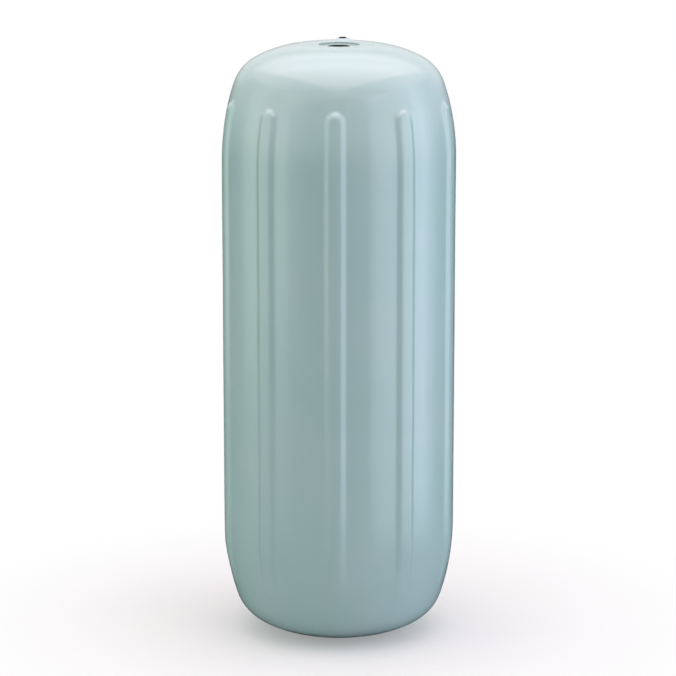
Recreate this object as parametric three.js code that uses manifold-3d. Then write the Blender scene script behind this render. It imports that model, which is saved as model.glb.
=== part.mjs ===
import * as THREE from 'three';
import { mergeVertices } from 'three/addons/utils/BufferGeometryUtils.js';
import Module from 'manifold-3d';

// Inflatable boat fender: a ribbed vinyl body with a rope hole through its middle, and its inflation valve.
// Millimetres, +Z up along the rope hole. It stands on the flat of its lower end, whose middle is the origin.
// One rib faces -Y, and the valve is on the upper end, towards +Y.

const degrees = THREE.MathUtils.degToRad;

// Body
const BODY_LENGTH = 652;
const WALL_RADIUS = 127;

// Each end goes from its flat to the straight wall in three arcs, tangent to each other
const FLAT_RADIUS = 35;
const CROWN_SWEEP = degrees(29);
const CORNER_RADIUS = 54;
const CORNER_SWEEP = degrees(47.5);
const SHOULDER_RADIUS = 320;

// Rope hole, with a shallow recess round each mouth
const ROPE_HOLE_RADIUS = 12;
const ROPE_HOLE_ROUNDING = 0.5;
const RECESS_RADIUS = 22;
const RECESS_DEPTH = 2;
const RECESS_ROUNDING = 1;

// Ribs along the wall, which end on the shoulders
const RIB_COUNT = 10;
const RIB_WIDTH = 27;
const RIB_HEIGHT = 4;
const RIB_TO_CORNER = 5;

// Valve boss on the upper end
const VALVE_TO_AXIS = 36;
const VALVE_TURN = degrees(4.5);
const BOSS_BASE_RADIUS = 12.5;
const BOSS_TOP_RADIUS = 5.2;
const BOSS_HEIGHT = 3.2;
const BOSS_FLARE = 1;

// Valve: a rubber plug with a head, a neck and a wider foot that holds it in
const VALVE_HEAD_RADIUS = 3.7;
const VALVE_HEAD_DEPTH = 3.5;
const VALVE_NECK_RADIUS = 2.9;
const VALVE_NECK_LENGTH = 4.5;
const VALVE_FOOT_RADIUS = 4.3;
const VALVE_FOOT_LENGTH = 7;
const VALVE_TIP_RADIUS = 2.2;
const VALVE_PROUD = 0.4;
const VALVE_CLEARANCE = 0.3;
const NEEDLE_DIMPLE_RADIUS = 1.3;
const NEEDLE_DIMPLE_DEPTH = 1.4;

// Fineness of the faceted surfaces
const CROWN_STEPS = 3;
const CORNER_STEPS = 5;
const RIB_STEPS = [0.4, 0.72, 1];
const STEPS_BETWEEN_RIBS = 4;
const HOLE_SIDES = 36;
const BOSS_SIDES = 24;
const VALVE_SIDES = 20;
const ROUNDING_STEPS = 3;
const BOSS_STEPS = 3;

// What a cutting tool or a joined piece overlaps, so that no two faces lie in one plane
const OVERCUT = 1;
const BOSS_ROOT = 3;

const vinyl = new THREE.MeshStandardMaterial({ color: 0xa3bcbd, roughness: 0.18, metalness: 0 });
const rubber = new THREE.MeshStandardMaterial({ color: 0x17191a, roughness: 0.55, metalness: 0 });

const wasm = await Module();
wasm.setup();

// A closed geometry as a solid: shared corners merged, and the empty triangles at the poles left out
function toSolid(geometry) {
	geometry.deleteAttribute('normal');
	geometry.deleteAttribute('uv');
	const merged = mergeVertices(geometry);
	const corners = merged.index.array;
	const triVerts = [];
	for (let i = 0; i < corners.length; i += 3) {
		const [a, b, c] = corners.subarray(i, i + 3);
		if (a !== b && b !== c && c !== a) triVerts.push(a, b, c);
	}
	const vertProperties = merged.attributes.position.array;
	return new wasm.Manifold(new wasm.Mesh({ numProp: 3, vertProperties, triVerts: Uint32Array.from(triVerts) }));
}

function toGeometry(solid) {
	const mesh = solid.getMesh();
	const geometry = new THREE.BufferGeometry();
	geometry.setAttribute('position', new THREE.BufferAttribute(mesh.vertProperties, mesh.numProp));
	geometry.setIndex(new THREE.BufferAttribute(mesh.triVerts, 1));
	geometry.computeVertexNormals();
	return geometry;
}

// Turns an outline of (radius, height) points, from the lowest to the highest, about the Z axis
function turned(outline, sides) {
	return new THREE.LatheGeometry(outline, sides).rotateX(Math.PI / 2);
}

// Unit vector in the (radius, height) plane, tilted away from straight up
function tilted(tilt) {
	return new THREE.Vector2(Math.sin(tilt), Math.cos(tilt));
}

// Quarter of a circle between two tilts of its normal
function rounding(centre, radius, from, to) {
	return Array.from({ length: ROUNDING_STEPS + 1 }, (_, i) =>
		tilted(THREE.MathUtils.lerp(from, to, i / ROUNDING_STEPS)).multiplyScalar(radius).add(centre));
}

// The upper half of the body's outline, with its heights counted from the middle of the body.
// The crown takes the width that the flat, the corner and the shoulder leave.
function upperOutline() {
	const cornerEnd = CROWN_SWEEP + CORNER_SWEEP;
	const cornerWidth = CORNER_RADIUS * (Math.sin(cornerEnd) - Math.sin(CROWN_SWEEP));
	const shoulderWidth = SHOULDER_RADIUS * (1 - Math.sin(cornerEnd));
	const crownRadius = (WALL_RADIUS - FLAT_RADIUS - cornerWidth - shoulderWidth) / Math.sin(CROWN_SWEEP);

	const crownCentre = new THREE.Vector2(FLAT_RADIUS, BODY_LENGTH / 2 - crownRadius);
	const cornerCentre = tilted(CROWN_SWEEP).multiplyScalar(crownRadius - CORNER_RADIUS).add(crownCentre);
	const shoulderCentre = tilted(cornerEnd).multiplyScalar(CORNER_RADIUS - SHOULDER_RADIUS).add(cornerCentre);
	return { cornerEnd, crownRadius, crownCentre, cornerCentre, shoulderCentre };
}

const outline = upperOutline();
const shoulderLength = SHOULDER_RADIUS * (Math.PI / 2 - outline.cornerEnd);
const ribEnd = shoulderLength - RIB_TO_CORNER;
const ribDomeStart = ribEnd - RIB_WIDTH / 2;

// Rows of the body's skin, from the foot of a shoulder to the edge of the flat.
// Each row is a point, the tilt of the skin there, and how far it lies along the shoulder.
function skinRows() {
	const domeRows = RIB_STEPS.map((share) => ribDomeStart + share * RIB_WIDTH / 2);
	const along = [0, ribDomeStart / 2, ribDomeStart, ...domeRows, shoulderLength].sort((a, b) => a - b);
	const rows = along.map((distance) => {
		const tilt = Math.PI / 2 - distance / SHOULDER_RADIUS;
		return { point: tilted(tilt).multiplyScalar(SHOULDER_RADIUS).add(outline.shoulderCentre), tilt, distance };
	});
	const arcs = [
		[outline.cornerCentre, CORNER_RADIUS, outline.cornerEnd, CROWN_SWEEP, CORNER_STEPS],
		[outline.crownCentre, outline.crownRadius, CROWN_SWEEP, 0, CROWN_STEPS],
	];
	for (const [centre, radius, from, to, steps] of arcs) {
		for (let step = 1; step <= steps; step++) {
			const tilt = THREE.MathUtils.lerp(from, to, step / steps);
			rows.push({ point: tilted(tilt).multiplyScalar(radius).add(centre), tilt, distance: Infinity });
		}
	}
	return rows;
}

// Turns, within one rib's pitch, at which the skin has a column: close together on the rib, and even between ribs
function columnTurns() {
	const pitch = 2 * Math.PI / RIB_COUNT;
	const halfRib = RIB_WIDTH / 2 / WALL_RADIUS;
	const onRib = RIB_STEPS.map((share) => share * halfRib);
	const between = Array.from({ length: STEPS_BETWEEN_RIBS - 1 }, (_, i) =>
		THREE.MathUtils.lerp(halfRib, pitch - halfRib, (i + 1) / STEPS_BETWEEN_RIBS));
	return [0, ...onRib, ...between, ...onRib.map((turn) => pitch - turn).reverse()];
}

// How far a rib stands off the wall: all its height along its spine, and nothing half its width away
function ribRelief(across, distance) {
	const away = Math.hypot(across, Math.max(distance - ribDomeStart, 0)) / (RIB_WIDTH / 2);
	return RIB_HEIGHT * (1 + Math.cos(Math.PI * Math.min(away, 1) ** 2)) / 2;
}

// The outer skin: the outline turned about the axis, its columns gathered at the ribs, and the ribs raised
function skin() {
	const upper = skinRows();
	const lower = upper.map((row) => ({
		point: new THREE.Vector2(row.point.x, -row.point.y),
		tilt: Math.PI - row.tilt,
		distance: row.distance,
	})).reverse();
	const rows = [...lower, ...upper];
	const pole = (height) => ({ point: new THREE.Vector2(0, height), tilt: 0, distance: Infinity });
	rows.unshift(pole(-BODY_LENGTH / 2));
	rows.push(pole(BODY_LENGTH / 2));

	const turns = columnTurns();
	const pitch = 2 * Math.PI / RIB_COUNT;
	const columns = RIB_COUNT * turns.length;
	const geometry = turned(rows.map((row) => row.point), columns);
	const position = geometry.attributes.position;
	for (let i = 0; i < position.count; i++) {
		const row = rows[i % rows.length];
		const column = Math.floor(i / rows.length) % columns;
		const rib = Math.floor(column / turns.length);
		const turn = turns[column % turns.length];
		const across = Math.min(turn, pitch - turn) * row.point.x;
		const raised = tilted(row.tilt).multiplyScalar(ribRelief(across, row.distance)).add(row.point);
		const angle = rib * pitch + turn;
		position.setXYZ(i, raised.x * Math.sin(angle), -raised.x * Math.cos(angle), raised.y + BODY_LENGTH / 2);
	}
	return geometry;
}

// What is taken out for the rope: the hole, and a recess with rounded edges at each mouth
function ropeHole() {
	const side = Math.PI / 2;
	const ledge = BODY_LENGTH - RECESS_DEPTH;
	const holeEdge = new THREE.Vector2(ROPE_HOLE_RADIUS + ROPE_HOLE_ROUNDING, ledge - ROPE_HOLE_ROUNDING);
	const recessEdge = new THREE.Vector2(RECESS_RADIUS + RECESS_ROUNDING, BODY_LENGTH - RECESS_ROUNDING);
	const mouth = [
		...rounding(holeEdge, ROPE_HOLE_ROUNDING, -side, 0),
		new THREE.Vector2(RECESS_RADIUS, ledge),
		...rounding(recessEdge, RECESS_ROUNDING, -side, 0),
		new THREE.Vector2(recessEdge.x, BODY_LENGTH + OVERCUT),
		new THREE.Vector2(0, BODY_LENGTH + OVERCUT),
	];
	const lowerMouth = mouth.map((point) => new THREE.Vector2(point.x, BODY_LENGTH - point.y)).reverse();
	return turned([...lowerMouth, ...mouth], HOLE_SIDES);
}

// The boss flares from its top down to the crown
function boss() {
	const flare = new THREE.QuadraticBezierCurve(
		new THREE.Vector2(BOSS_BASE_RADIUS, 0),
		new THREE.Vector2(BOSS_TOP_RADIUS + BOSS_FLARE, BOSS_FLARE),
		new THREE.Vector2(BOSS_TOP_RADIUS, BOSS_HEIGHT),
	);
	return turned([
		new THREE.Vector2(0, -BOSS_ROOT),
		new THREE.Vector2(BOSS_BASE_RADIUS, -BOSS_ROOT),
		...flare.getPoints(BOSS_STEPS),
		new THREE.Vector2(0, BOSS_HEIGHT),
	], BOSS_SIDES);
}

// The valve's outline below the boss's top, grown by a clearance where it is the pocket
function valveOutline(clearance) {
	const footTop = -VALVE_HEAD_DEPTH - VALVE_NECK_LENGTH + clearance;
	const footEnd = -VALVE_HEAD_DEPTH - VALVE_NECK_LENGTH - VALVE_FOOT_LENGTH - clearance;
	return [
		new THREE.Vector2(0, footEnd),
		new THREE.Vector2(VALVE_TIP_RADIUS + clearance, footEnd),
		new THREE.Vector2(VALVE_FOOT_RADIUS + clearance, footTop),
		new THREE.Vector2(VALVE_NECK_RADIUS + clearance, footTop),
		new THREE.Vector2(VALVE_NECK_RADIUS + clearance, -VALVE_HEAD_DEPTH - clearance),
		new THREE.Vector2(VALVE_HEAD_RADIUS + clearance, -VALVE_HEAD_DEPTH - clearance),
	];
}

function pocket() {
	return turned([
		...valveOutline(VALVE_CLEARANCE),
		new THREE.Vector2(VALVE_HEAD_RADIUS + VALVE_CLEARANCE, OVERCUT),
		new THREE.Vector2(0, OVERCUT),
	], VALVE_SIDES);
}

function valve() {
	return turned([
		...valveOutline(0),
		new THREE.Vector2(VALVE_HEAD_RADIUS, VALVE_PROUD / 2),
		new THREE.Vector2(VALVE_HEAD_RADIUS - VALVE_PROUD, VALVE_PROUD),
		new THREE.Vector2(NEEDLE_DIMPLE_RADIUS, VALVE_PROUD),
		new THREE.Vector2(0, VALVE_PROUD - NEEDLE_DIMPLE_DEPTH),
	], VALVE_SIDES);
}

// Middle of the boss on the upper flat's level, and the middle of its top
const bossFoot = new THREE.Vector3(
	VALVE_TO_AXIS * Math.sin(VALVE_TURN),
	VALVE_TO_AXIS * Math.cos(VALVE_TURN),
	BODY_LENGTH,
);
const bossTop = bossFoot.clone().setZ(BODY_LENGTH + BOSS_HEIGHT);

const body = toSolid(skin())
	.add(toSolid(boss().translate(...bossFoot.toArray())))
	.subtract(toSolid(ropeHole()))
	.subtract(toSolid(pocket().translate(...bossTop.toArray())));

const fenderBody = new THREE.Mesh(toGeometry(body), vinyl);
fenderBody.name = 'fender_body';

const inflationValve = new THREE.Mesh(valve(), rubber);
inflationValve.name = 'inflation_valve';
inflationValve.position.copy(bossTop);

const fender = new THREE.Group();
fender.add(fenderBody, inflationValve);

export default fender;
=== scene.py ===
import math

import bmesh
import bpy
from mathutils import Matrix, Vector


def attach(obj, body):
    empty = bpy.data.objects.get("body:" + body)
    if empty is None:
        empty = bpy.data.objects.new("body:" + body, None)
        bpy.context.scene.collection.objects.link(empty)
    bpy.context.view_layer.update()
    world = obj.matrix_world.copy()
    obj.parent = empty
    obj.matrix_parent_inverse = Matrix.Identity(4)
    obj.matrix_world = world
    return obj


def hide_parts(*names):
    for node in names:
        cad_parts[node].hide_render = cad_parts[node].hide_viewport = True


# Inflatable boat fender in glossy vinyl, with its inflation valve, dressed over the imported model.
# Metres, +Z up along the rope hole. One rib faces -Y, and the valve is on the upper end, towards +Y.

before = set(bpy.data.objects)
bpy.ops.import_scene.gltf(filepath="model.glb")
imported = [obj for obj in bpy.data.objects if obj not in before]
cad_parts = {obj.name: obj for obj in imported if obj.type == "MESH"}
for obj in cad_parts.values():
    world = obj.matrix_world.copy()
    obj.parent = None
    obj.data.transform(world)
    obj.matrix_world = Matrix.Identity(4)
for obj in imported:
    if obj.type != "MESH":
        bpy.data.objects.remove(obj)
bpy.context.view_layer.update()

WHOLE_TURN = 2 * math.pi
QUARTER_TURN = math.pi / 2

# Body: each end goes from its flat to the straight wall in three arcs, tangent to each other.
# The fine share of the crown is the part next to the flat, where the boss rises from closer rows.
BODY_LENGTH = 0.652
WALL_RADIUS = 0.127
FLAT_RADIUS = 0.035
CROWN_SWEEP = math.radians(29)
CROWN_FINE_SHARE = 0.35
CORNER_RADIUS = 0.0476
CORNER_SWEEP = math.radians(42.5)
SHOULDER_RADIUS = 0.253

# Mouth of the rope hole: a recess with a chamfer round its floor, and the rounded bead that stands round
# it. The wall of the hole has a row of points at the row depth under the recess.
HOLE_RADIUS = 0.012
HOLE_ROUNDING = 0.0005
HOLE_ROW_DEPTH = 0.006
RECESS_RADIUS = 0.022
RECESS_DEPTH = 0.002
RECESS_CHAMFER = 0.0006
BEAD_HEIGHT = 0.0002
BEAD_ROUNDING = 0.001
BEAD_FLANK_RADIUS = 0.004

# Ribs along the wall: a crest of even height, with a smooth slope round it down to the rib's foot.
# At the lower end the crest rises slowly, over the length of the climb.
RIB_COUNT = 10
RIB_PITCH = WHOLE_TURN / RIB_COUNT
RIB_WIDTH = 0.0272
RIB_CREST = 0.0104
RIB_HEIGHT = 0.0032
RIB_TO_CORNER = 0.0128
RIB_PASSES = 4
LOWER_CLIMB = 0.048

# Cap that makes each rib's upper end steeper. The crest stops short of the rib's end by the setback,
# and the cap stands past it by the reach.
CAP_SETBACK = 0.0010
CAP_REACH = 0.0020
CAP_SPAN = 0.0010
CAP_HEIGHT = 0.0009
CAP_SLOPE = 0.0052

# Boss that carries the valve: a bell drawn up from the crown, cut off flat and rounded at its edge
VALVE_TO_AXIS = 0.036
VALVE_TURN = math.radians(4.5)
BOSS_HEIGHT = 0.0027
BOSS_FOOT_RADIUS = 0.0125
BOSS_PULL = 0.0083
BOSS_TOP_RADIUS = 0.0050
BOSS_ROUNDING = 0.0005
BOSS_EDGE_SWEEP = math.radians(42)

# Pocket in the boss, and the rubber plug in it. The shares shape the dimple: how wide it still is
# near its bottom, and how deep its side goes.
POCKET_RADIUS = 0.0041
POCKET_DEPTH = 0.0060
POCKET_ROUNDING = 0.0003
PLUG_RADIUS = 0.0040
PLUG_PROUD = 0.0008
PLUG_ROUNDING = 0.0003
PLUG_HEAD_DEPTH = 0.0035
PLUG_NECK_RADIUS = 0.0029
PLUG_NECK_LENGTH = 0.0020
DIMPLE_RADIUS = 0.0013
DIMPLE_DEPTH = 0.0012
DIMPLE_LIP_WIDTH = 0.0004
DIMPLE_LIP_DEPTH = 0.0003
DIMPLE_WIDTH_SHARE = 0.7
DIMPLE_SIDE_SHARE = 0.8

# Cutter that trims the boss: wide and tall enough to take off all of the bell above its top
CUTTER_RADIUS = 0.009
CUTTER_TOP = 0.010

# Swell of the blown-up skin, which makes its reflections waver
SWELL_DEPTH = 0.0005
SWELL_LENGTH = 0.090

# Columns of faces round the spun pieces
GAP_COLUMNS = 3
RIB_COLUMNS = 12
CUTTER_COLUMNS = 64
PLUG_COLUMNS = 48

# The plane that an outline starts from, the distances that join points and pick one out, and the angle
# past which an edge stays sharp
STARTING_PLANE = 0.01
MERGE_DISTANCE = 0.00001
SAME_PLACE = 0.000001
SHARP_EDGE = math.radians(40)

MIDDLE = Vector((0, 0, BODY_LENGTH / 2))
VALVE_PLACE = Vector((
    VALVE_TO_AXIS * math.sin(VALVE_TURN),
    VALVE_TO_AXIS * math.cos(VALVE_TURN),
    BODY_LENGTH + BOSS_HEIGHT,
))


# Camera, at the photograph's height and distance. Its lens and sensor are in millimetres.

CAMERA_DISTANCE = 3.5
CAMERA_ELEVATION = math.radians(12.41)
CAMERA_TURN = math.radians(1.9)
CAMERA_TARGET = Vector((-0.0011, 0, 0.3279))
CAMERA_LENS = 169.45
CAMERA_SENSOR = 36
CAMERA_REACH = 60


def add_camera():
    back = Vector((
        math.sin(CAMERA_TURN) * math.cos(CAMERA_ELEVATION),
        -math.cos(CAMERA_TURN) * math.cos(CAMERA_ELEVATION),
        math.sin(CAMERA_ELEVATION),
    ))
    place = MIDDLE + back * CAMERA_DISTANCE
    aim = (CAMERA_TARGET - place).to_track_quat("-Z", "Y")
    bpy.ops.object.camera_add(location=place, rotation=aim.to_euler())
    camera = bpy.context.object
    camera.data.lens = CAMERA_LENS
    camera.data.sensor_width = CAMERA_SENSOR
    camera.data.clip_end = CAMERA_REACH
    bpy.context.scene.camera = camera


# Outlines are drawn in the plane of radius (X) and height (Z), then spun round the Z axis

# A new piece that holds one point, where its outline starts: a small plane merged at its centre
def start_outline(name, radius, height):
    bpy.ops.object.select_all(action="DESELECT")
    bpy.ops.mesh.primitive_plane_add(size=STARTING_PLANE)
    piece = bpy.context.object
    piece.name = name
    piece.data.name = name
    bpy.ops.object.mode_set(mode="EDIT")
    bpy.ops.mesh.select_all(action="SELECT")
    bpy.ops.mesh.merge(type="CENTER")
    bpy.ops.transform.translate(value=(radius, 0, height))
    return piece


def pen_place(piece):
    mesh = bmesh.from_edit_mesh(piece.data)
    return next(vertex.co.copy() for vertex in mesh.verts if vertex.select)


def draw_line(piece, radius, height, steps=1):
    way = Vector((radius, 0, height)) - pen_place(piece)
    for _ in range(steps):
        bpy.ops.mesh.extrude_region_move(TRANSFORM_OT_translate={"value": way / steps})


# An arc round a centre, clockwise as the radius runs right and the height up
def draw_arc(centre, sweep, steps):
    bpy.ops.mesh.spin(steps=steps, angle=-sweep, center=(centre.x, 0, centre.y), axis=(0, 1, 0))


def spin_outline(angle, steps):
    bpy.ops.mesh.spin(steps=steps, angle=angle, center=(0, 0, 0), axis=(0, 0, 1))


def close_spun_skin():
    bpy.ops.mesh.select_all(action="SELECT")
    bpy.ops.mesh.remove_doubles(threshold=MERGE_DISTANCE)
    bpy.ops.mesh.normals_make_consistent(inside=False)


def select_vertices(piece, wanted):
    bpy.ops.mesh.select_all(action="DESELECT")
    mesh = bmesh.from_edit_mesh(piece.data)
    for vertex in mesh.verts:
        vertex.select = wanted(vertex.co)
    mesh.select_flush_mode()
    bmesh.update_edit_mesh(piece.data)


def apply_modifier(piece, kind, **settings):
    modifier = piece.modifiers.new(kind.title(), kind)
    for setting, value in settings.items():
        setattr(modifier, setting, value)
    bpy.ops.object.select_all(action="DESELECT")
    piece.select_set(True)
    bpy.context.view_layer.objects.active = piece
    bpy.ops.object.modifier_apply(modifier=modifier.name)


def tilted(tilt):
    return Vector((math.sin(tilt), math.cos(tilt)))


# The centres of the arcs from the flat to the wall, with heights counted from the body's middle

corner_end = CROWN_SWEEP + CORNER_SWEEP
corner_width = CORNER_RADIUS * (math.sin(corner_end) - math.sin(CROWN_SWEEP))
shoulder_width = SHOULDER_RADIUS * (1 - math.sin(corner_end))
crown_width = WALL_RADIUS - FLAT_RADIUS - corner_width - shoulder_width
crown_radius = crown_width / math.sin(CROWN_SWEEP)

top = BODY_LENGTH / 2
crown_centre = Vector((FLAT_RADIUS, top - crown_radius))
corner_centre = crown_centre + tilted(CROWN_SWEEP) * (crown_radius - CORNER_RADIUS)
shoulder_centre = corner_centre + tilted(corner_end) * (CORNER_RADIUS - SHOULDER_RADIUS)

# The rib's end is the middle of its round end, half a rib's width from its foot
shoulder_sweep = QUARTER_TURN - corner_end
rib_end_sweep = (RIB_TO_CORNER + RIB_WIDTH / 2) / SHOULDER_RADIUS
rib_end = shoulder_centre + tilted(corner_end + rib_end_sweep) * SHOULDER_RADIUS


# The upper half of the body's outline, from the middle of the hole over the mouth and the end to the wall
def draw_half_body():
    piece = start_outline("fender_skin", HOLE_RADIUS, 0)
    ledge = top - RECESS_DEPTH
    bead_top = top + BEAD_HEIGHT
    bead_sweep = math.acos(1 - BEAD_HEIGHT / 2 / BEAD_FLANK_RADIUS)
    bead_flank = 2 * BEAD_FLANK_RADIUS * math.sin(bead_sweep)

    draw_line(piece, HOLE_RADIUS, ledge - HOLE_ROW_DEPTH, steps=3)
    draw_line(piece, HOLE_RADIUS, ledge - HOLE_ROUNDING)
    draw_arc(Vector((HOLE_RADIUS + HOLE_ROUNDING, ledge - HOLE_ROUNDING)), QUARTER_TURN, steps=3)
    draw_line(piece, RECESS_RADIUS - RECESS_CHAMFER, ledge, steps=2)
    draw_line(piece, RECESS_RADIUS, ledge + RECESS_CHAMFER)
    draw_line(piece, RECESS_RADIUS, bead_top - BEAD_ROUNDING)

    inner_top = Vector((RECESS_RADIUS + BEAD_ROUNDING, bead_top))
    draw_arc(inner_top - Vector((0, BEAD_ROUNDING)), QUARTER_TURN, steps=4)
    draw_arc(inner_top - Vector((0, BEAD_FLANK_RADIUS)), bead_sweep, steps=2)
    draw_arc(Vector((inner_top.x + bead_flank, top + BEAD_FLANK_RADIUS)), -bead_sweep, steps=2)
    draw_line(piece, FLAT_RADIUS, top, steps=3)

    draw_arc(crown_centre, CROWN_SWEEP * CROWN_FINE_SHARE, steps=5)
    draw_arc(crown_centre, CROWN_SWEEP * (1 - CROWN_FINE_SHARE), steps=5)
    draw_arc(corner_centre, CORNER_SWEEP, steps=10)
    draw_arc(shoulder_centre, rib_end_sweep, steps=14)
    draw_arc(shoulder_centre, shoulder_sweep - rib_end_sweep, steps=9)
    draw_line(piece, WALL_RADIUS, 0, steps=3)
    return piece


# Spins the outline, with its columns close together on the ribs. The +X axis is midway between two ribs.
def spin_body():
    rib = RIB_WIDTH / WALL_RADIUS
    half_gap = (RIB_PITCH - rib) / 2
    bpy.ops.mesh.select_all(action="SELECT")
    for _ in range(RIB_COUNT):
        spin_outline(half_gap, GAP_COLUMNS)
        spin_outline(rib, RIB_COLUMNS)
        spin_outline(half_gap, GAP_COLUMNS)
    close_spun_skin()


# Whether a point lies on the crest of a rib, which ends at one height above the body's middle and at one
# below it. The crest's ends are round. The wall of the rope hole is never part of it.
def on_crest(place, above, below):
    radius = place.xy.length
    if radius < rib_end.x - RIB_CREST:
        return False
    turn = math.atan2(place.x, -place.y)
    across = (turn - round(turn / RIB_PITCH) * RIB_PITCH) * radius
    beyond = max(place.z - above, -place.z - below, 0)
    return math.hypot(across, beyond) < RIB_CREST / 2


# Raises what is selected along its normals, with a smooth slope round it
def raise_selected(height, slope):
    bpy.ops.transform.shrink_fatten(
        value=height,
        use_proportional_edit=True,
        proportional_edit_falloff="SMOOTH",
        proportional_size=slope,
    )


# Raises the ribs a little at a time. Each pass starts higher up than the last one, so the lower ends climb
# slowly. The caps are raised last, on the upper ends alone.
def raise_ribs(piece):
    crest_end = rib_end.y - CAP_SETBACK
    for number in range(RIB_PASSES):
        below = rib_end.y - LOWER_CLIMB * number / RIB_PASSES
        select_vertices(piece, lambda place: on_crest(place, crest_end, below))
        raise_selected(RIB_HEIGHT / RIB_PASSES, (RIB_WIDTH - RIB_CREST) / 2)
    cap_end = rib_end.y + CAP_REACH
    select_vertices(piece, lambda place: on_crest(place, cap_end, 0) and place.z > cap_end - CAP_SPAN)
    raise_selected(CAP_HEIGHT, CAP_SLOPE)


def swell_skin(piece):
    swell = bpy.data.textures.new("skin_swell", "CLOUDS")
    swell.noise_scale = SWELL_LENGTH
    swell.noise_depth = 0
    apply_modifier(
        piece, "DISPLACE",
        texture=swell, texture_coords="LOCAL", mid_level=0.5, strength=SWELL_DEPTH,
    )


# Draws the boss up from one vertex, which is first slid onto the valve's axis
def pull_boss(piece):
    foot = VALVE_PLACE - Vector((0, 0, BOSS_HEIGHT))
    mesh = bmesh.from_edit_mesh(piece.data)
    nearest = min(mesh.verts, key=lambda vertex: (vertex.co - foot).length)
    place = nearest.co.copy()
    select_vertices(piece, lambda co: (co - place).length < SAME_PLACE)
    bpy.ops.transform.translate(value=foot - place)
    bpy.ops.transform.translate(
        value=(0, 0, BOSS_PULL),
        use_proportional_edit=True,
        proportional_edit_falloff="SHARP",
        proportional_size=BOSS_FOOT_RADIUS,
    )


# The cutter that trims the boss flat, rounds its edge and sinks the pocket. Height 0 is the boss's top.
def draw_boss_cutter():
    cutter = start_outline("boss_cutter", 0, -POCKET_DEPTH)
    draw_line(cutter, POCKET_RADIUS, -POCKET_DEPTH, steps=2)
    draw_line(cutter, POCKET_RADIUS, -POCKET_ROUNDING, steps=3)
    draw_arc(Vector((POCKET_RADIUS + POCKET_ROUNDING, -POCKET_ROUNDING)), QUARTER_TURN, steps=4)
    draw_line(cutter, BOSS_TOP_RADIUS, 0)
    draw_arc(Vector((BOSS_TOP_RADIUS, -BOSS_ROUNDING)), BOSS_EDGE_SWEEP, steps=4)
    draw_line(cutter, CUTTER_RADIUS, pen_place(cutter).z)
    draw_line(cutter, CUTTER_RADIUS, CUTTER_TOP)
    draw_line(cutter, 0, CUTTER_TOP)
    bpy.ops.mesh.select_all(action="SELECT")
    spin_outline(WHOLE_TURN, CUTTER_COLUMNS)
    close_spun_skin()
    bpy.ops.transform.translate(value=VALVE_PLACE)
    bpy.ops.object.mode_set(mode="OBJECT")
    return cutter


# The fender's skin. It is worked round the body's middle, then lifted until its lower flat is at height 0.
def make_body():
    piece = draw_half_body()
    spin_body()
    bpy.ops.object.mode_set(mode="OBJECT")
    apply_modifier(piece, "MIRROR", use_axis=(False, False, True), merge_threshold=MERGE_DISTANCE)
    bpy.ops.object.mode_set(mode="EDIT")
    raise_ribs(piece)
    bpy.ops.object.mode_set(mode="OBJECT")
    apply_modifier(piece, "SUBSURF", levels=1, render_levels=1)
    swell_skin(piece)

    bpy.ops.object.mode_set(mode="EDIT")
    bpy.ops.mesh.select_all(action="SELECT")
    bpy.ops.transform.translate(value=MIDDLE)
    pull_boss(piece)
    bpy.ops.object.mode_set(mode="OBJECT")
    cutter = draw_boss_cutter()
    apply_modifier(piece, "BOOLEAN", object=cutter, operation="DIFFERENCE", solver="EXACT")
    bpy.data.objects.remove(cutter)
    bpy.ops.object.shade_smooth_by_angle(angle=SHARP_EDGE)
    return piece


# The rubber plug: a head with a dimple for the needle, and the neck that goes down into the pocket
def make_plug():
    foot = -PLUG_HEAD_DEPTH - PLUG_NECK_LENGTH
    piece = start_outline("valve_plug", 0, foot)
    draw_line(piece, PLUG_NECK_RADIUS, foot, steps=2)
    draw_line(piece, PLUG_NECK_RADIUS, -PLUG_HEAD_DEPTH, steps=2)
    draw_line(piece, PLUG_RADIUS, -PLUG_HEAD_DEPTH)
    draw_line(piece, PLUG_RADIUS, PLUG_PROUD - PLUG_ROUNDING, steps=2)
    draw_arc(Vector((PLUG_RADIUS - PLUG_ROUNDING, PLUG_PROUD - PLUG_ROUNDING)), -QUARTER_TURN, steps=6)
    draw_line(piece, DIMPLE_RADIUS + DIMPLE_LIP_WIDTH, PLUG_PROUD, steps=2)
    draw_line(piece, DIMPLE_RADIUS, PLUG_PROUD - DIMPLE_LIP_DEPTH)
    side_foot = PLUG_PROUD - DIMPLE_DEPTH * DIMPLE_SIDE_SHARE
    draw_line(piece, DIMPLE_RADIUS * DIMPLE_WIDTH_SHARE, side_foot, steps=2)
    draw_line(piece, 0, PLUG_PROUD - DIMPLE_DEPTH, steps=2)
    bpy.ops.mesh.select_all(action="SELECT")
    spin_outline(WHOLE_TURN, PLUG_COLUMNS)
    close_spun_skin()
    bpy.ops.transform.translate(value=VALVE_PLACE)
    bpy.ops.object.mode_set(mode="OBJECT")
    apply_modifier(piece, "SUBSURF", levels=1, render_levels=1)
    bpy.ops.object.shade_smooth_by_angle(angle=SHARP_EDGE)
    return piece


# Materials. The node groups below are shared, and each material sets their sizes and colours for itself.
# Clouds, smudges and waves are sizes in metres, grain is the share of fine grain on the waves, and relief
# is the height of the bumps.

VINYL_COLOUR = (0.325, 0.478, 0.475, 1)
VINYL_HAZE = (0.350, 0.486, 0.492, 1)
VINYL_CLOUDS = 0.11
VINYL_SPECULAR = 0.7
VINYL_ROUGHNESS = 0.10
VINYL_DULLED = 0.16
VINYL_SMUDGES = 0.07
VINYL_HAIRLINES = 0.5
VINYL_WAVES = 0.012
VINYL_GRAIN = 0.05
VINYL_RELIEF = 0.00004

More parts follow.
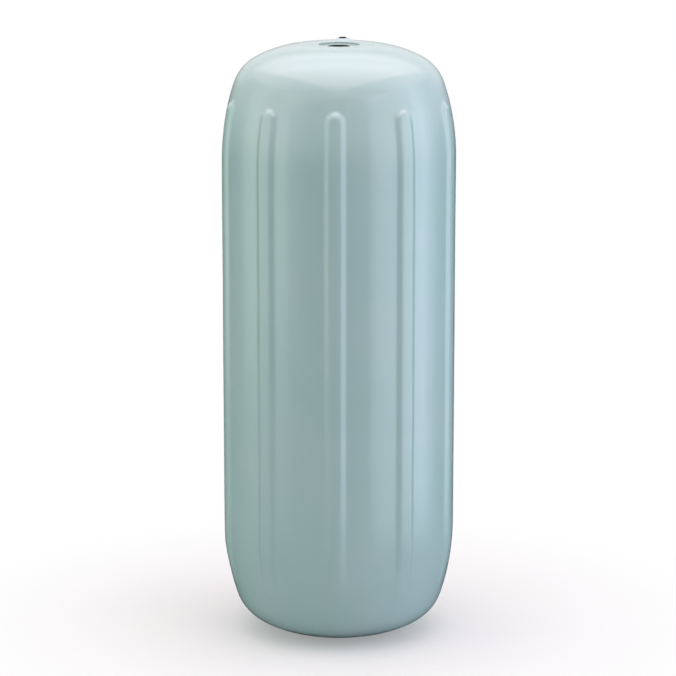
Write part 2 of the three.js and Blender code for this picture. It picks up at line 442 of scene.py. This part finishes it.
# Painted shade on the wall of each recess and the edge of its floor: a darker colour that stands in for
# the shade there
RECESS_SHADE_COLOUR = (0.155, 0.200, 0.195, 1)
RECESS_SHADE_SHARE = 0.9
RECESS_SHADE_WIDTH = 0.0015
RECESS_SHADE_DEPTH = 0.001
RECESS_SHADE_FADE = 0.001

# Painted shade in the tube that the rope runs in: its colour is painted near black from the rounding of
# its mouth inwards, at these distances from its wall.
TUBE_SHADE_COLOUR = (0.012, 0.015, 0.015, 1)
TUBE_PALER_SHADE = (0.040, 0.042, 0.040, 1)
TUBE_SHADE_CLOUDS = 0.02
TUBE_SHADE_FADE_START = 0.0004
TUBE_SHADE_FADE_END = 0.0001

RUBBER_COLOUR = (0.004, 0.0045, 0.005, 1)
RUBBER_DUST = (0.012, 0.0125, 0.0125, 1)
RUBBER_CLOUDS = 0.003
RUBBER_SPECULAR = 0.06
RUBBER_ROUGHNESS = 0.85
RUBBER_WORN = 0.70
RUBBER_SMUDGES = 0.004
RUBBER_HAIRLINES = 0.3
RUBBER_WAVES = 0.0012
RUBBER_GRAIN = 0.4
RUBBER_RELIEF = 0.00003

# Floor. Its own white grows with the distance from the fender, so that the shadow stays.
FLOOR_SIZE = 60
FLOOR_COLOUR = (0.78, 0.78, 0.78, 1)
FLOOR_SHADE = (0.75, 0.75, 0.76, 1)
FLOOR_CLOUDS = 0.25
FLOOR_ROUGHNESS = 0.9
FLOOR_WAVES = 0.006
FLOOR_GRAIN = 0.3
FLOOR_RELIEF = 0.0001
FLOOR_LEAST_WHITE = 0.3
FLOOR_WHITE_START = 0.10
FLOOR_WHITE_END = 0.50

# How many times finer than the waves the grain is, and how the hairlines are turned and drawn out
GRAIN_FINENESS = 9.0
HAIRLINE_TURN = (0.5, 0.3, 0.8)
HAIRLINE_STRETCH = (1.0, 0.25, 0.6)


def new_material(name):
    material = bpy.data.materials.new(name)
    material.use_nodes = True
    return material, material.node_tree.nodes, material.node_tree.links


# A node group with its sockets, each given as a name and a kind
def new_group(name, inputs, outputs):
    group = bpy.data.node_groups.new(name, "ShaderNodeTree")
    for socket, kind in inputs:
        group.interface.new_socket(socket, in_out="INPUT", socket_type="NodeSocket" + kind)
    for socket, kind in outputs:
        group.interface.new_socket(socket, in_out="OUTPUT", socket_type="NodeSocket" + kind)
    entry = group.nodes.new("NodeGroupInput")
    leave = group.nodes.new("NodeGroupOutput")
    return group, entry, leave


def use_group(nodes, links, group, place, **values):
    node = nodes.new("ShaderNodeGroup")
    node.node_tree = group
    links.new(place, node.inputs["Place"])
    for socket, value in values.items():
        node.inputs[socket].default_value = value
    return node


def object_place(nodes):
    return nodes.new("ShaderNodeTexCoord").outputs["Object"]


def split_axes(nodes, links, vector):
    apart = nodes.new("ShaderNodeSeparateXYZ")
    links.new(vector, apart.inputs["Vector"])
    return apart.outputs


def add_length(nodes, links, vector):
    length = nodes.new("ShaderNodeVectorMath")
    length.operation = "LENGTH"
    links.new(vector, length.inputs[0])
    return length.outputs["Value"]


def add_math(nodes, links, operation, first, second):
    node = nodes.new("ShaderNodeMath")
    node.operation = operation
    for socket, value in zip(node.inputs, (first, second)):
        if isinstance(value, (int, float)):
            socket.default_value = value
        else:
            links.new(value, socket)
    return node.outputs[0]


def add_noise(nodes, links, place, fineness, detail):
    noise = nodes.new("ShaderNodeTexNoise")
    noise.inputs["Detail"].default_value = detail
    links.new(place, noise.inputs["Vector"])
    links.new(fineness, noise.inputs["Scale"])
    return noise.outputs["Fac"]


# A smooth step from low to high as the value goes from its start to its end
def add_range(nodes, links, value, start, end, low=0.0, high=1.0):
    span = nodes.new("ShaderNodeMapRange")
    span.interpolation_type = "SMOOTHSTEP"
    span.inputs["From Min"].default_value = start
    span.inputs["From Max"].default_value = end
    span.inputs["To Min"].default_value = low
    span.inputs["To Max"].default_value = high
    links.new(value, span.inputs["Value"])
    return span.outputs["Result"]


def mix_colours(nodes, links, share, first, second):
    mix = nodes.new("ShaderNodeMix")
    mix.data_type = "RGBA"
    links.new(share, mix.inputs["Factor"])
    for socket, value in ((mix.inputs["A"], first), (mix.inputs["B"], second)):
        if isinstance(value, tuple):
            socket.default_value = value
        else:
            links.new(value, socket)
    return mix.outputs["Result"]


def mix_shaders(nodes, links, share, first, second):
    mix = nodes.new("ShaderNodeMixShader")
    links.new(share, mix.inputs["Fac"])
    links.new(first, mix.inputs[1])
    links.new(second, mix.inputs[2])
    return mix.outputs[0]


def add_bump(nodes, links, height, distance, shader):
    bump = nodes.new("ShaderNodeBump")
    bump.inputs["Strength"].default_value = 1.0
    bump.inputs["Distance"].default_value = distance
    links.new(height, bump.inputs["Height"])
    links.new(bump.outputs["Normal"], shader.inputs["Normal"])


# Two close colours that change over into each other in soft clouds of a given size
def make_mottle():
    group, entry, leave = new_group(
        "mottle",
        (("Place", "Vector"), ("Size", "Float"), ("First", "Color"), ("Second", "Color")),
        (("Colour", "Color"),),
    )
    nodes, links = group.nodes, group.links
    fineness = add_math(nodes, links, "DIVIDE", 1.0, entry.outputs["Size"])
    clouds = add_noise(nodes, links, entry.outputs["Place"], fineness, detail=4)
    share = add_range(nodes, links, clouds, start=0.34, end=0.66)
    colour = mix_colours(nodes, links, share, entry.outputs["First"], entry.outputs["Second"])
    links.new(colour, leave.inputs["Colour"])
    return group


# Height of a moulded skin: shallow waves of a given size, and a finer grain on them
def make_grain():
    group, entry, leave = new_group(
        "moulded_grain",
        (("Place", "Vector"), ("Size", "Float"), ("Grain", "Float")),
        (("Height", "Float"),),
    )
    nodes, links = group.nodes, group.links
    wave_fineness = add_math(nodes, links, "DIVIDE", 1.0, entry.outputs["Size"])
    grain_fineness = add_math(nodes, links, "DIVIDE", GRAIN_FINENESS, entry.outputs["Size"])
    waves = add_noise(nodes, links, entry.outputs["Place"], wave_fineness, detail=1)
    grain = add_noise(nodes, links, entry.outputs["Place"], grain_fineness, detail=3)
    fine = add_math(nodes, links, "MULTIPLY", grain, entry.outputs["Grain"])
    height = add_math(nodes, links, "ADD", waves, fine)
    links.new(height, leave.inputs["Height"])
    return group


# Where hands and shelves have dulled the surface: smudges, and hairlines that cross some of them
def make_marks():
    group, entry, leave = new_group(
        "handling_marks",
        (("Place", "Vector"), ("Size", "Float"), ("Hairlines", "Float")),
        (("Mask", "Float"),),
    )
    nodes, links = group.nodes, group.links
    fineness = add_math(nodes, links, "DIVIDE", 1.0, entry.outputs["Size"])
    clouds = add_noise(nodes, links, entry.outputs["Place"], fineness, detail=5)
    smudges = add_range(nodes, links, clouds, start=0.42, end=0.74)
    stretch = nodes.new("ShaderNodeMapping")
    stretch.inputs["Rotation"].default_value = HAIRLINE_TURN
    stretch.inputs["Scale"].default_value = HAIRLINE_STRETCH
    links.new(entry.outputs["Place"], stretch.inputs["Vector"])
    cells = nodes.new("ShaderNodeTexVoronoi")
    cells.feature = "DISTANCE_TO_EDGE"
    links.new(stretch.outputs["Vector"], cells.inputs["Vector"])
    links.new(fineness, cells.inputs["Scale"])
    lines = add_range(nodes, links, cells.outputs["Distance"], start=0.012, end=0.004)
    broken = add_range(nodes, links, clouds, start=0.50, end=0.60)
    kept = add_math(nodes, links, "MULTIPLY", lines, broken)
    hairlines = add_math(nodes, links, "MULTIPLY", kept, entry.outputs["Hairlines"])
    mask = add_math(nodes, links, "MAXIMUM", smudges, hairlines)
    links.new(mask, leave.inputs["Mask"])
    return group


# How far a point is from the Z axis, from its X and Y outputs
def add_radius(nodes, links, x, y):
    flat = nodes.new("ShaderNodeCombineXYZ")
    links.new(x, flat.inputs["X"])
    links.new(y, flat.inputs["Y"])
    return add_length(nodes, links, flat.outputs[0])


# Where the painted shade lies: close to the recess's wall, and below the level of the end's flat
def add_recess_shade(nodes, links, radius, height):
    from_middle = add_math(nodes, links, "SUBTRACT", height, BODY_LENGTH / 2)
    from_middle = add_math(nodes, links, "ABSOLUTE", from_middle, 0)
    depth = add_math(nodes, links, "SUBTRACT", BODY_LENGTH / 2, from_middle)
    deep = add_range(nodes, links, depth, start=0, end=RECESS_SHADE_DEPTH)
    inwards = add_range(nodes, links, radius, start=RECESS_RADIUS - RECESS_SHADE_WIDTH, end=RECESS_RADIUS)
    outwards = add_range(nodes, links, radius, start=RECESS_RADIUS + RECESS_SHADE_FADE, end=RECESS_RADIUS)
    near_wall = add_math(nodes, links, "MULTIPLY", inwards, outwards)
    recess_shade = add_math(nodes, links, "MULTIPLY", near_wall, deep)
    return add_math(nodes, links, "MULTIPLY", recess_shade, RECESS_SHADE_SHARE)


# The skin's vinyl. Painted shade darkens the wall of each recess. The rope's tube inside the hole is
# painted near black as shade, and is dull.
def make_vinyl(mottle, grain, marks):
    material, nodes, links = new_material("glossy_vinyl")
    shader = nodes["Principled BSDF"]
    shader.inputs["Specular IOR Level"].default_value = VINYL_SPECULAR
    place = object_place(nodes)
    x, y, height = split_axes(nodes, links, place)
    radius = add_radius(nodes, links, x, y)

    skin = use_group(
        nodes, links, mottle, place, Size=VINYL_CLOUDS, First=VINYL_COLOUR, Second=VINYL_HAZE,
    )
    tube = use_group(
        nodes, links, mottle, place, Size=TUBE_SHADE_CLOUDS, First=TUBE_SHADE_COLOUR, Second=TUBE_PALER_SHADE,
    )
    # Painted shade in each recess, mixed into the skin's colour
    recess_shade = add_recess_shade(nodes, links, radius, height)
    skin_colour = mix_colours(nodes, links, recess_shade, skin.outputs["Colour"], RECESS_SHADE_COLOUR)
    # Painted shade: inside the hole the tube is coloured near black, and the same mask makes it dull
    in_tube_shade = add_range(
        nodes, links, radius, start=HOLE_RADIUS + TUBE_SHADE_FADE_START, end=HOLE_RADIUS + TUBE_SHADE_FADE_END,
    )
    colour = mix_colours(nodes, links, in_tube_shade, skin_colour, tube.outputs["Colour"])
    links.new(colour, shader.inputs["Base Color"])

    worn = use_group(nodes, links, marks, place, Size=VINYL_SMUDGES, Hairlines=VINYL_HAIRLINES)
    dulled = add_range(
        nodes, links, worn.outputs["Mask"], start=0, end=1, low=VINYL_ROUGHNESS, high=VINYL_DULLED,
    )
    links.new(add_math(nodes, links, "MAXIMUM", dulled, in_tube_shade), shader.inputs["Roughness"])
    relief = use_group(nodes, links, grain, place, Size=VINYL_WAVES, Grain=VINYL_GRAIN)
    add_bump(nodes, links, relief.outputs["Height"], VINYL_RELIEF, shader)
    return material


# The plug's rubber, a little dusty, and smoother where it is worn
def make_rubber(mottle, grain, marks):
    material, nodes, links = new_material("matt_black_rubber")
    shader = nodes["Principled BSDF"]
    shader.inputs["Specular IOR Level"].default_value = RUBBER_SPECULAR
    place = object_place(nodes)
    dusty = use_group(
        nodes, links, mottle, place, Size=RUBBER_CLOUDS, First=RUBBER_COLOUR, Second=RUBBER_DUST,
    )
    links.new(dusty.outputs["Colour"], shader.inputs["Base Color"])
    worn = use_group(nodes, links, marks, place, Size=RUBBER_SMUDGES, Hairlines=RUBBER_HAIRLINES)
    roughness = add_range(
        nodes, links, worn.outputs["Mask"], start=0, end=1, low=RUBBER_ROUGHNESS, high=RUBBER_WORN,
    )
    links.new(roughness, shader.inputs["Roughness"])
    relief = use_group(nodes, links, grain, place, Size=RUBBER_WAVES, Grain=RUBBER_GRAIN)
    add_bump(nodes, links, relief.outputs["Height"], RUBBER_RELIEF, shader)
    return material


def dress(piece, material, node):
    piece.data.materials.clear()
    piece.data.materials.append(material)
    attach(piece, "root")
    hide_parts(node)


# Floor, surroundings and lamps

FILL_COLOUR = (0.9, 0.97, 1.0, 1)
FILL_STRENGTH = 0.11
WHITE = (1, 1, 1, 1)

# Studio walls, which only reflections show. They are dim up to the floor's height, and glow more and more
# from there to their top.
WALLS_RADIUS = 3.2
WALLS_FOOT = -3.0
WALLS_TOP = 1.2
WALLS_FACETS = 48
WALLS_DIM = 0.03
WALLS_BRIGHT = 0.9


# Whether a ray comes from the camera or a reflection, or through something clear
def seen_directly(nodes, links):
    path = nodes.new("ShaderNodeLightPath").outputs
    mirrored = add_math(nodes, links, "MAXIMUM", path["Is Camera Ray"], path["Is Glossy Ray"])
    return add_math(nodes, links, "MAXIMUM", mirrored, path["Is Transmission Ray"])


def light_world():
    world = bpy.data.worlds.new("studio")
    bpy.context.scene.world = world
    world.use_nodes = True
    nodes, links = world.node_tree.nodes, world.node_tree.links
    fill = nodes["Background"]
    fill.inputs["Color"].default_value = FILL_COLOUR
    fill.inputs["Strength"].default_value = FILL_STRENGTH
    white = nodes.new("ShaderNodeBackground")
    white.inputs["Color"].default_value = WHITE
    surface = mix_shaders(nodes, links, seen_directly(nodes, links), fill.outputs[0], white.outputs[0])
    links.new(surface, nodes["World Output"].inputs["Surface"])


# A pale floor. It can be looked through from below, and reflections leave it out.
def add_floor(mottle, grain):
    bpy.ops.object.select_all(action="DESELECT")
    bpy.ops.mesh.primitive_plane_add(size=FLOOR_SIZE, location=(0, 0, -BEAD_HEIGHT))
    floor = bpy.context.object
    floor.name = "floor"
    floor.visible_glossy = False
    material, nodes, links = new_material("pale_floor")
    shader = nodes["Principled BSDF"]
    shader.inputs["Roughness"].default_value = FLOOR_ROUGHNESS
    place = object_place(nodes)
    paint = use_group(
        nodes, links, mottle, place, Size=FLOOR_CLOUDS, First=FLOOR_COLOUR, Second=FLOOR_SHADE,
    )
    links.new(paint.outputs["Colour"], shader.inputs["Base Color"])
    relief = use_group(nodes, links, grain, place, Size=FLOOR_WAVES, Grain=FLOOR_GRAIN)
    add_bump(nodes, links, relief.outputs["Height"], FLOOR_RELIEF, shader)

    distance = add_length(nodes, links, place)
    away = add_range(
        nodes, links, distance, start=FLOOR_WHITE_START, end=FLOOR_WHITE_END, low=FLOOR_LEAST_WHITE,
    )
    share = add_math(nodes, links, "MULTIPLY", away, seen_directly(nodes, links))
    white = nodes.new("ShaderNodeEmission").outputs[0]
    from_above = mix_shaders(nodes, links, share, shader.outputs[0], white)
    clear = nodes.new("ShaderNodeBsdfTransparent").outputs[0]
    backfacing = nodes.new("ShaderNodeNewGeometry").outputs["Backfacing"]
    surface = mix_shaders(nodes, links, backfacing, from_above, clear)
    links.new(surface, nodes["Material Output"].inputs["Surface"])
    floor.data.materials.append(material)


def add_studio_walls():
    height = WALLS_TOP - WALLS_FOOT
    middle = (WALLS_TOP + WALLS_FOOT) / 2
    bpy.ops.object.select_all(action="DESELECT")
    bpy.ops.mesh.primitive_cylinder_add(
        vertices=WALLS_FACETS, radius=WALLS_RADIUS, depth=height, location=(0, 0, middle),
    )
    walls = bpy.context.object
    walls.name = "studio_walls"
    bpy.ops.object.mode_set(mode="EDIT")
    bpy.ops.mesh.select_all(action="DESELECT")
    mesh = bmesh.from_edit_mesh(walls.data)
    for face in mesh.faces:
        face.select = face.normal.z > 0.5
    bmesh.update_edit_mesh(walls.data)
    bpy.ops.mesh.delete(type="FACE")
    bpy.ops.object.mode_set(mode="OBJECT")

    material, nodes, links = new_material("dark_walls")
    nodes.remove(nodes["Principled BSDF"])
    glow = nodes.new("ShaderNodeEmission")
    upwards = split_axes(nodes, links, object_place(nodes))["Z"]
    level = add_range(
        nodes, links, upwards, start=-middle, end=height / 2, low=WALLS_DIM, high=WALLS_BRIGHT,
    )
    links.new(level, glow.inputs["Strength"])
    links.new(glow.outputs[0], nodes["Material Output"].inputs["Surface"])
    walls.data.materials.append(material)
    walls.visible_camera = False
    walls.visible_diffuse = False
    walls.visible_shadow = False
    walls.visible_transmission = False
    walls.visible_volume_scatter = False


# Lamps. A lamp's levels are pairs: a position on it, from 0 to 1, and its share of the brightness there.
# Across, they run from its left edge to its right. Upwards, they run from its foot to its top.

OVERHEAD_PLACE = (0, -0.1, 2.0)
OVERHEAD_AIM = (0, -0.1, 0)
OVERHEAD_SIZE = (4.8, 5.2)
OVERHEAD_COLOUR = (1.0, 0.86, 0.885)
OVERHEAD_BRIGHTNESS = 2.92
OVERHEAD_ACROSS = ((0, 0.44), (0.08, 0.96), (0.5, 1), (0.92, 0.96), (1, 0.44))
OVERHEAD_UPWARDS = (
    (0, 0.46), (0.26, 0.52), (0.31, 0.64), (0.345, 0.82), (0.42, 0.93),
    (0.51, 1), (0.625, 0.88), (0.76, 0.46), (1, 0.1),
)

# The overhead lamp's levels across it start from a point, at a share of its height, and widen upwards
OVERHEAD_POINT = 0.127
WIDENING = 1.04
LEAST_WIDTH = 0.02

# The side softboxes stand round the fender at one distance and height. Each fades towards its foot.
SIDE_DISTANCE = 1.5
SIDE_SPREAD = math.radians(44)
SIDE_HEIGHT = 0.575
SIDE_TALL = 1.75
SIDE_FOOT_FADE = 0.4
SIDE_FOOT_TOP = 0.066
SIDE_UPPER_LEVELS = ((0.288, 1), (0.494, 1), (0.823, 0.62), (1, 0.58))

# Name, azimuth, colour, brightness, level at the foot, and levels across
SIDE_SOFTBOXES = (
    ("right_softbox", 93.5, (0.74, 0.82, 1.0), 3.05, 0.8,
     ((0, 0.74), (0.133, 0.76), (0.381, 1), (0.619, 0.40), (0.867, 0.07), (1, 0))),
    ("right_front_softbox", 49.5, (0.85, 0.94, 1.0), 2.35, 0.8,
     ((0, 0), (0.133, 0.50), (0.381, 0.76), (0.619, 0.74), (0.867, 0.95), (1, 1))),
    ("left_softbox", -93.5, (0.86, 1.0, 0.82), 1.65, 0.25,
     ((0, 0), (0.133, 0.08), (0.381, 0.62), (0.619, 1), (0.867, 0.84), (1, 0.82))),
    ("left_front_softbox", -49.5, (0.82, 1.0, 0.88), 1.75, 0.25,
     ((0, 0.78), (0.133, 0.78), (0.381, 0.96), (0.619, 0.32), (0.867, 0.10), (1, 0))),
)


def add_levels(nodes, links, way, levels):
    ramp = nodes.new("ShaderNodeValToRGB")
    ramp.color_ramp.interpolation = "EASE"
    steps = ramp.color_ramp.elements
    while len(steps) < len(levels):
        steps.new(0.5)
    for step, (position, level) in zip(steps, levels):
        step.position = position
        step.color = (level, level, level, 1)
    links.new(way, ramp.inputs["Fac"])
    return ramp.outputs["Color"]


# The way across a lamp, counted in its width at each height. The width grows upwards from the point.
def widen_upwards(nodes, links, across, upwards, point):
    above_point = add_math(nodes, links, "SUBTRACT", upwards, point)
    width = add_math(nodes, links, "MULTIPLY", above_point, WIDENING)
    width = add_math(nodes, links, "MAXIMUM", width, LEAST_WIDTH)
    off_middle = add_math(nodes, links, "SUBTRACT", across, 0.5)
    off_middle = add_math(nodes, links, "DIVIDE", off_middle, width)
    return add_math(nodes, links, "ADD", off_middle, 0.5)


# A softbox whose brightness follows its levels
def add_softbox(name, place, aim, size, colour, brightness, across, upwards, point=None):
    place = Vector(place)
    turn = (Vector(aim) - place).to_track_quat("-Z", "Y")
    bpy.ops.object.light_add(type="AREA", location=place, rotation=turn.to_euler())
    lamp = bpy.context.object
    lamp.name = name
    lamp.visible_camera = False
    lamp.data.shape = "RECTANGLE"
    lamp.data.size = size[0]
    lamp.data.size_y = size[1]
    lamp.data.color = colour
    lamp.data.energy = brightness * math.pi * size[0] * size[1]
    lamp.data.use_nodes = True
    nodes, links = lamp.data.node_tree.nodes, lamp.data.node_tree.links
    parametric = nodes.new("ShaderNodeNewGeometry").outputs["Parametric"]
    way_across, way_up, _ = split_axes(nodes, links, parametric)
    if point:
        way_across = widen_upwards(nodes, links, way_across, way_up, point)
    sideways = add_levels(nodes, links, way_across, across)
    lengthwise = add_levels(nodes, links, way_up, upwards)
    level = add_math(nodes, links, "MULTIPLY", sideways, lengthwise)
    links.new(level, nodes["Emission"].inputs["Strength"])


# A softbox beside the fender, its azimuth counted in degrees from the camera's side towards +X
def add_side_softbox(name, azimuth, colour, brightness, foot, across):
    angle = math.radians(azimuth) + CAMERA_TURN
    place = Vector((SIDE_DISTANCE * math.sin(angle), -SIDE_DISTANCE * math.cos(angle), SIDE_HEIGHT))
    width = 2 * SIDE_DISTANCE * math.tan(SIDE_SPREAD / 2)
    size = (width, SIDE_TALL)
    upwards = ((0, foot * SIDE_FOOT_FADE), (SIDE_FOOT_TOP, foot)) + SIDE_UPPER_LEVELS
    add_softbox(name, place, (0, 0, SIDE_HEIGHT), size, colour, brightness, across, upwards)


add_camera()

body = make_body()
plug = make_plug()
mottle = make_mottle()
grain = make_grain()
marks = make_marks()
dress(body, make_vinyl(mottle, grain, marks), "fender_body")
dress(plug, make_rubber(mottle, grain, marks), "inflation_valve")

light_world()
add_floor(mottle, grain)
add_studio_walls()
add_softbox(
    "overhead_softbox", OVERHEAD_PLACE, OVERHEAD_AIM, OVERHEAD_SIZE, OVERHEAD_COLOUR,
    OVERHEAD_BRIGHTNESS, OVERHEAD_ACROSS, OVERHEAD_UPWARDS, point=OVERHEAD_POINT,
)
for softbox in SIDE_SOFTBOXES:
    add_side_softbox(*softbox)

bpy.context.scene.view_settings.view_transform = "Standard"
